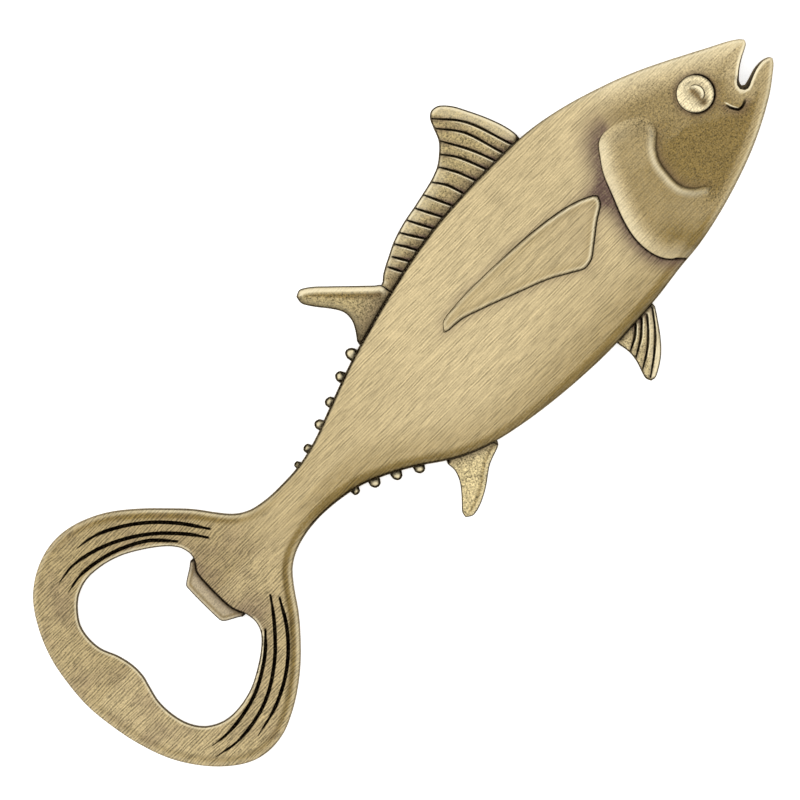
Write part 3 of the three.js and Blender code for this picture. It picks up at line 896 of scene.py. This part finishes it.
class Shading:
    """A material's node tree, with short calls for the kinds of node that it uses."""

    def __init__(self, tree):
        self.tree = tree
        self.coord = self.add("TexCoord").outputs["Object"]

    def add(self, kind, inputs=None, **settings):
        made = self.tree.nodes.new("ShaderNode" + kind)
        for key, value in settings.items():
            setattr(made, key, value)
        for key, value in (inputs or {}).items():
            if isinstance(value, bpy.types.NodeSocket):
                self.tree.links.new(value, made.inputs[key])
            else:
                made.inputs[key].default_value = value
        return made

    def maths(self, operation, a, b=0.0, c=0.0, clamp=False):
        return self.add("Math", {0: a, 1: b, 2: c}, operation=operation,
                        use_clamp=clamp).outputs[0]

    def mixed(self, share, a, b, blend="MIX"):
        return self.add("Mix", {0: share, 6: a, 7: b}, data_type="RGBA",
                        blend_type=blend).outputs[2]

    def spread(self, value, low, high, new_low=0.0, new_high=1.0):
        """The value's range from low to high, spread over a new range and cut off there."""
        return self.add("MapRange", {
            "Value": value, "From Min": low, "From Max": high,
            "To Min": new_low, "To Max": new_high}).outputs[0]

    def noise(self, scale, detail, stretch=(1, 1, 1)):
        place = self.add("Mapping", {"Vector": self.coord, "Scale": stretch})
        return self.add("TexNoise", {
            "Vector": place.outputs[0], "Scale": scale, "Detail": detail,
            "Roughness": 0.6}).outputs["Fac"]

    def paint(self, key):
        return self.add("Attribute", attribute_name=key).outputs["Fac"]

    def brush_marks(self, pitch, length, waviness):
        """Straight marks side by side, light and dark in turn, of chance strength."""
        axes = self.add("SeparateXYZ", {0: self.coord}).outputs
        wave = self.maths("MULTIPLY", self.noise(250, 1), waviness * MM)
        across = self.maths("DIVIDE", self.maths("ADD", axes[1], wave), pitch * MM)
        row = self.maths("FLOOR", across)
        start = self.add("TexWhiteNoise", {"W": row}, noise_dimensions="1D")
        run = self.maths("MULTIPLY_ADD", start.outputs["Value"], 9.0,
                         self.maths("DIVIDE", axes[0], length * MM))
        mark = self.add("CombineXYZ", {0: row, 1: self.maths("FLOOR", run)})
        strength = self.add("TexWhiteNoise", {"Vector": mark.outputs[0]},
                            noise_dimensions="2D").outputs["Value"]
        turn = self.maths("PINGPONG", row, 1.0)
        return self.maths("MULTIPLY", strength, self.spread(turn, 0, 1, -1, 1))

    def grains(self):
        """A square grain of chance brightness in each small cell."""
        cell = self.add("VectorMath", {0: self.coord, 1: GRAINS_PER_METRE},
                        operation="MULTIPLY").outputs[0]
        cell = self.add("VectorMath", {0: cell}, operation="FLOOR").outputs[0]
        return self.add("TexWhiteNoise", {"Vector": cell}).outputs["Value"]


def brushed_lines(shading, blotch):
    """Brush lines along the fish, with short coarse marks where the paint has blotches."""
    fine_lines = shading.noise(1000, 1, (0.3, 3.4, 1))
    long_marks, short_marks = [
        shading.maths("ADD", *[shading.brush_marks(*sizes) for sizes in sets])
        for sets in (LONG_MARKS, SHORT_MARKS)
    ]
    short_marks = shading.maths("MULTIPLY", short_marks, SHORT_MARK_STRENGTH)
    coarse = shading.maths("MULTIPLY", blotch, 3.0, clamp=True)
    marks = shading.add("Mix", {0: coarse, 2: long_marks, 3: short_marks}).outputs[0]
    return shading.maths("MULTIPLY_ADD", marks, MARK_STRENGTH, fine_lines)


def brass(name, base=GOLD, brushing=1.0, streaks=1.0, grain=0.25, roughness=0.36):
    """Antique brass: patina in the hollows, painted shade, rubbed pale metal with painted
    highlights, and lines brushed along it.
    """
    material, shader = new_material(name, Metallic=1.0, Specular_Tint=EDGE_TINT)
    shading = Shading(material.node_tree)
    link = material.node_tree.links.new
    maths, mixed, spread = shading.maths, shading.mixed, shading.spread
    wear_and_highlight, dark, shade_halo, olive, cast, blotch = [shading.paint(key) for key in PAINTS]
    pits, cloud = shading.noise(3000, 1), shading.noise(170, 3)
    lines = brushed_lines(shading, blotch)

    # How light the metal is: brushed lines, pits, cast grain, clouds.
    contrast = LINE_CONTRAST * streaks
    light = spread(lines, 0.1, 0.9, -contrast, contrast)
    light = maths("MULTIPLY", light, maths("MULTIPLY_ADD", blotch, 1.4, 1.0))
    brushed_share = maths("MULTIPLY_ADD", cast, -0.75, 1.0, clamp=True)
    light = maths("MULTIPLY_ADD", light, brushed_share, 1.0)
    speckle = maths("MULTIPLY_ADD", shading.grains(), 0.35, pits)
    pitted = spread(speckle, 0.35, 1.0, 1 - PIT_CONTRAST * grain, 1 + PIT_CONTRAST * grain)
    cast_pits = spread(speckle, 0.35, 1.0, -CAST_CONTRAST, CAST_CONTRAST)
    light = maths("MULTIPLY", light, pitted)
    light = maths("ADD", light, maths("MULTIPLY", cast_pits, cast))
    light = maths("MULTIPLY", light, spread(cloud, 0.3, 0.7, 0.98, 1.02))

    # Toning, painted shade and painted highlights, from the palest layer to the blackest.
    colour = mixed(1.0, base, light, "MULTIPLY")
    mottle = maths("MULTIPLY_ADD", maths("SUBTRACT", pits, 0.5), 0.9, 1.0)
    olive = maths("MULTIPLY", olive, mottle, clamp=True)
    colour = mixed(olive, colour, mixed(1.0, OLIVE, light, "MULTIPLY"))
    # Painted brown shade, with blotchy stains on the ring added.
    stains = maths("MULTIPLY", blotch, spread(cloud, 0.46, 0.66))
    shade_halo = maths("MULTIPLY", maths("ADD", shade_halo, stains), mottle, clamp=True)
    colour = mixed(shade_halo, colour, mixed(1.0, SHADE_AND_STAIN_BROWN, light, "MULTIPLY"))
    # Rubbed pale metal and painted highlights.
    rubbed_and_lit = maths("MULTIPLY", wear_and_highlight, spread(lines, 0.3, 0.7, 0.75, 1.1), clamp=True)
    colour = mixed(rubbed_and_lit, colour, PALE_GOLD)
    # Black patina and painted shade.
    stained_and_shaded = maths("MULTIPLY", dark, spread(pits, 0.3, 0.7, 0.75, 1.2), clamp=True)
    colour = mixed(stained_and_shaded, colour, PATINA_AND_SHADE)
    link(colour, shader.inputs["Base Color"])

    rough = maths("MULTIPLY_ADD", lines, 0.2, roughness - 0.1)
    rough = maths("MULTIPLY_ADD", cast, 0.08, rough)
    rough = maths("MULTIPLY_ADD", stained_and_shaded, 0.3, rough)
    rough = maths("MULTIPLY_ADD", rubbed_and_lit, -0.06, rough, clamp=True)
    link(rough, shader.inputs["Roughness"])

    brushed = shading.add("Bump", {
        "Height": lines, "Strength": 0.35 * brushing, "Distance": BUMP_DEPTH})
    roughened = maths("MULTIPLY", pits, maths("ADD", cast, 0.15))
    bumped = shading.add("Bump", {
        "Height": roughened, "Strength": 0.5, "Distance": BUMP_DEPTH,
        "Normal": brushed.outputs[0]})
    link(bumped.outputs[0], shader.inputs["Normal"])
    return material


BRUSHED = brass("brushed antique brass")
CAST = brass("cast antique brass", linear(212, 194, 146), 0.5, 0.4, 0.9, 0.42)
DARK_CAST = brass("dark cast brass", linear(200, 184, 154), 0.2, 0.5, 0.3, 0.48)
BRIGHT = brass("worn bright brass", linear(228, 211, 168), 0.6, 1.3, 0.8, 0.32)


# ---------- the pieces

GROOVE_ROWS = (0, -0.13, 0.13, -0.24, 0.24, -0.36, 0.36, -0.5, 0.5)
GILL_ROWS = (-0.1, -0.2, -0.32, -0.55, -0.9, -1.4)
STEP_ROWS = (-0.09, 0.09, -0.3, 0.3)
PECTORAL_ROWS = (-0.08, -0.2, -0.32, -0.55)
EYE_ROWS = (0.06, 0.16, 0.28, 0.42, 0.7)
BRUSH_FINISH = dict(material=BRUSHED, slot="brushed_antique_brass")
BRIGHT_FINISH = dict(material=BRIGHT, slot="worn_bright_brass")
CAST_FINISH = dict(material=CAST, slot="cast_antique_brass", host=BODY_EDGE)
DARK_FINISH = dict(material=DARK_CAST, slot="dark_cast_brass", host=OPENING_EDGE)

angles = np.linspace(0, 2 * np.pi, 90, endpoint=False)
CIRCLE = np.stack([np.cos(angles), np.sin(angles)], 1)

body_details = [
    *[rows_beside(line, GROOVE_ROWS) for line in RING_GROOVES + [JAW_MARK]],
    rows_beside(GILL_EDGE, GILL_ROWS, closed=True),
    rows_beside(GILL_STEP[len(GILL_REAR):], STEP_ROWS),
    rows_beside(PECTORAL_EDGE, PECTORAL_ROWS, closed=True),
    *[EYE_CENTRE + (EYE_RADIUS + extra) * CIRCLE for extra in EYE_ROWS],
]

body = relief("body_casting", [BODY_EDGE, OPENING_EDGE], front_height, front_paint, 0.0,
              body_inset, body_side_dark, body_details,
              pockets=[(GILL_EDGE[::-1], BODY_TOP - POCKET_DEPTH)])
body.make(nodes=["fish_body"], **BRUSH_FINISH)


def inlaid(node, edge, height, paint, low, lean, *, rows=ROLL_ROWS, step=0.6, **finish):
    """A low pad let into the body's front, its sides painted dark as shade."""
    piece = relief(node + "_relief", [edge], height, paint, low, lambda loop: lean,
                   lambda loop: (1.0, 1.0), step=step, rows=rows)
    return piece.make(nodes=[node], **finish)


inlaid("gill_cover", GILL_EDGE, lambda points: front_height(points, on_gill=True),
       lambda points: front_paint(points, on_gill=True), BODY_TOP - POCKET_DEPTH, 0.0,
       **BRUSH_FINISH)

PECTORAL_HEIGHT = BODY_TOP + 0.8 * (top_of("pectoral_fin") - BODY_TOP)


def pectoral_height(points):
    distance = nearest(points, PECTORAL_EDGE)[0] - 0.1
    return PECTORAL_HEIGHT - rolled(np.maximum(distance, 0), 0.5, 0.16)


def pectoral_paint(points):
    # A rubbed rim, brighter towards the tip, a dark edge line and a little painted shade towards
    # the tip.
    distance = nearest(points, PECTORAL_EDGE)[0]
    front_side = ramp(points[:, 0], 30, 38)
    return dict(wear_and_highlight=(0.3 + 0.5 * front_side) * bell(distance, 0.42, 0.2),
                dark=0.6 * crisp(distance - 0.1, 0.05), shade_halo=0.1 * front_side,
                olive=0.22 + 0.2 * bell(distance, 1.1, 0.5))


inlaid("pectoral_fin", PECTORAL_EDGE, pectoral_height, pectoral_paint, BODY_TOP - PAD_SINK, 0.1,
       rows=ROLL_ROWS[:8], **BRUSH_FINISH)


EYE_RISE = 0.36  # how far the eye stands out of the body
VALLEY = 0.28  # depth of the hollow behind the pupil
PUPIL_RISE = 0.36  # how far the pupil stands out of that hollow


def eye_hollow(points):
    """1 in the middle of the hollow behind the pupil and 0 outside it."""
    x, y = (points - EYE_CENTRE).T
    return bell(x, 0.0, 0.9) * (1 - ramp(y, 0.8, 2.0))


def eye_height(points):
    radius = lengths_of(points - EYE_CENTRE)
    x = points[:, 0] - EYE_CENTRE[0]
    dome = BODY_TOP + EYE_RISE - rolled(np.maximum(EYE_RADIUS - 0.06 - radius, 0), 0.55, 0.14)
    return dome - VALLEY * ramp(x, -2.3, -0.1) * (1 - ramp(radius, 1.6, 2.7))


def eye_paint(points):
    radius = lengths_of(points - EYE_CENTRE)
    # Painted shade in the hollow behind the pupil and in the gap on the eye's front side; the rest
    # of the disc is a little lighter.
    hollow = eye_hollow(points) * (1 - ramp(radius, 2.4, 3.3))
    front_gap = bell(radius, 1.9, 0.7) * ramp(points[:, 0] - EYE_CENTRE[0], 0, 1)
    return dict(wear_and_highlight=0.25 * (1 - hollow), olive=hollow + 0.35 * front_gap, shade_halo=0.35 * hollow,
                dark=0.8 * crisp(EYE_RADIUS - radius, 0.08), cast=0.3)


def pupil_height(points):
    x = points[:, 0] - EYE_CENTRE[0]
    radius = lengths_of(points - PUPIL_CENTRE)
    rise = PUPIL_RISE * ramp(x, -0.3, 1.3) - 0.05 * (1 - ramp(x, -0.5, 0.1))
    brow = rolled(np.maximum(PUPIL_RADIUS - 0.05 - radius, 0), 0.25, 0.05)
    return BODY_TOP + EYE_RISE + 0.005 - VALLEY + rise - brow


def pupil_paint(points):
    radius = lengths_of(points - PUPIL_CENTRE)
    # A painted highlight on the pupil's front crest, a black line along its front edge, and painted
    # shade in the hollow.
    front_side = ramp(points[:, 0] - EYE_CENTRE[0], 0.0, 0.8)
    crest = bell(PUPIL_RADIUS - radius, 0.42, 0.26) * front_side
    hollow = eye_hollow(points) * (1 - crest)
    return dict(wear_and_highlight=0.95 * crest + 0.25 * (1 - hollow), olive=hollow, shade_halo=0.35 * hollow,
                dark=crisp(PUPIL_RADIUS - radius, 0.16) * front_side, cast=0.3)


inlaid("eye_disc", EYE_CENTRE + EYE_RADIUS * CIRCLE, eye_height, eye_paint,
       BODY_TOP - PAD_SINK, 0.06, rows=ROLL_ROWS[:8], step=0.35, **BRIGHT_FINISH)
inlaid("pupil", PUPIL_CENTRE + PUPIL_RADIUS * CIRCLE[::2], pupil_height, pupil_paint,
       BODY_TOP - PAD_SINK + 0.1, 0.05, rows=ROLL_ROWS[:6], step=0.3, **BRIGHT_FINISH)


def ray_grooves(node):
    floor = top_of(node) - RAY_GROOVE_CUT
    return [groove_line(loop) for loop in flat_loops(node, floor, up=True)]


fin_piece("first_dorsal_fin", 0.6, 0.08, grooves=ray_grooves("first_dorsal_fin"),
          neighbour="second_dorsal_fin", leading=(0.8, 0.6), inner=0.5, bright=1.0,
          root_line=0.22, **CAST_FINISH)
fin_piece("pelvic_fin", 0.7, 0.1, grooves=ray_grooves("pelvic_fin"), leading=(0.9, -0.4),
          inner=0.1, bright=0.9, shade=1.2, edge_line=0.1, root_line=0.24, **CAST_FINISH)
fin_piece("second_dorsal_fin", 1.0, 0.12, leading=(0.7, 0.7), hollow=0.2, inner=0.42,
          bright=1.2, trailing=0.45, shade=3.6, edge_line=0.1, root_line=0.24, **CAST_FINISH)
fin_piece("anal_fin", 0.55, 0.08, leading=(0.8, -0.6), hollow=0.08, inner=0.05, bright=0.3,
          shade=1.2, edge_line=0.06, root_line=0.2, **CAST_FINISH)
for name in sorted(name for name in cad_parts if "finlet" in name):
    fin_piece(name, 0.6, 0.12, inner=0.0, bright=0.5, core=0.75, shade=0.2, edge_line=0.28,
              root_line=0.3, **CAST_FINISH)
fin_piece("cap_lug", 0.4, 0.1, bright=0.35, shade=0.9, edge_line=0.05, root_line=0.14,
          pitting=0.25, **DARK_FINISH)


# ---------- floor, light and camera

FLOOR_REACH = 3.0
FLOOR_DROP = 0.1 * MM  # how far it lies below the opener's back
FLOOR_GREY = 0.92
FLOOR_GLOW = 0.5  # keeps the floor near white in the picture
ROOM_LIGHT = 0.8
CAMERA_HEIGHT = 3.0  # far off, for almost no perspective
CAMERA_SPOT = (-6.12 * MM, -1.63 * MM)
CAMERA_TURN = -45  # degrees; the head points up and to the right in the picture
FIELD_WIDTH = 0.144
SENSOR_WIDTH = 36


def floor_piece():
    mesh = bpy.data.meshes.new("floor")
    corners = [(-1, -1), (1, -1), (1, 1), (-1, 1)]
    mesh.from_pydata([(FLOOR_REACH * x, FLOOR_REACH * y, -FLOOR_DROP) for x, y in corners],
                     [], [(0, 1, 2, 3)])
    material, _ = new_material(
        "pale floor", Base_Color=(FLOOR_GREY, FLOOR_GREY, FLOOR_GREY, 1), Roughness=0.9,
        Emission_Color=(1, 1, 1, 1), Emission_Strength=FLOOR_GLOW)
    mesh.materials.append(material)
    floor = placed("floor", mesh)


def softbox(name, size, power, place):
    """A square lamp that shines on the middle of the floor."""
    light = bpy.data.lights.new(name, "AREA")
    light.shape = "SQUARE"
    light.size = size
    light.energy = power
    lamp = placed(name, light)
    lamp.location = place
    lamp.rotation_euler = (Vector() - Vector(place)).to_track_quat("-Z", "Y").to_euler()
    lamp.visible_camera = False


def room():
    world = bpy.data.worlds.new("studio")
    world.use_nodes = True
    background = world.node_tree.nodes["Background"]
    background.inputs["Color"].default_value = (1, 1, 1, 1)
    background.inputs["Strength"].default_value = ROOM_LIGHT
    bpy.context.scene.world = world


def overhead_camera():
    camera = bpy.data.cameras.new("camera")
    camera.sensor_width = SENSOR_WIDTH
    camera.lens = SENSOR_WIDTH * CAMERA_HEIGHT / FIELD_WIDTH
    camera.clip_end = 10
    viewer = placed("camera", camera)
    viewer.location = (*CAMERA_SPOT, CAMERA_HEIGHT)
    viewer.rotation_euler = (0, 0, math.radians(CAMERA_TURN))
    bpy.context.scene.camera = viewer


floor_piece()
softbox("overhead softbox", 1.3, 6.8, (0, 0, 1.2))
softbox("side softbox", 0.8, 3.6, (-0.6, 0.6, 0.5))
room()
overhead_camera()
bpy.context.scene.view_settings.view_transform = "Standard"
